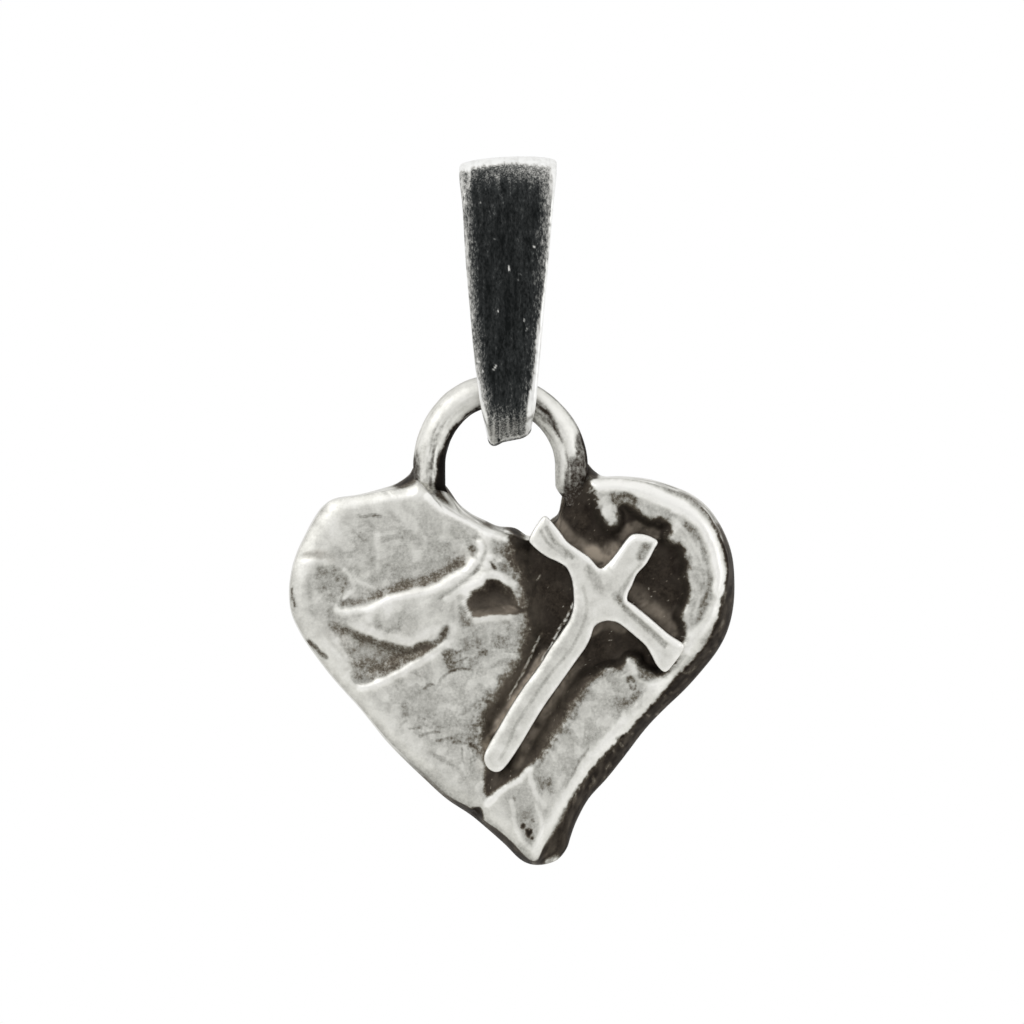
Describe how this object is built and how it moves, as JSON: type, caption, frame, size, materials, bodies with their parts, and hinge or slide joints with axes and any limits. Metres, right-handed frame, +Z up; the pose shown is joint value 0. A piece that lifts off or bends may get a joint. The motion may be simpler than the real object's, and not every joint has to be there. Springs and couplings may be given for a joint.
{
  "type": "heart pendant with cross",
  "caption": "Cast silver heart pendant with a raised leaning cross in a dark channel, hung by a wire loop from a tapered folded bail.",
  "frame": {"origin": "the point inside the bail's top bend where the chain bears", "axes": "+Z up along the hanging pendant, +X to the right seen from the front, the front faces -Y"},
  "size_m": [0.0251, 0.0066, 0.0399],
  "materials": {
    "cast_silver": "satin",
    "silver_wire": "polished",
    "blackened_silver": "satin"
  },
  "bodies": {
    "bail": {"bail": "blackened_silver"},
    "heart": {"heart_plate": "cast_silver", "cross": "cast_silver", "hanging_loop": "silver_wire"}
  },
  "joints": [
    {"name": "swing", "type": "hinge", "parent": "bail", "child": "heart", "pos_m": [0, 0, -0.01255], "axis": [1, 0, 0], "range_deg": [-140, 140]}
  ]
}
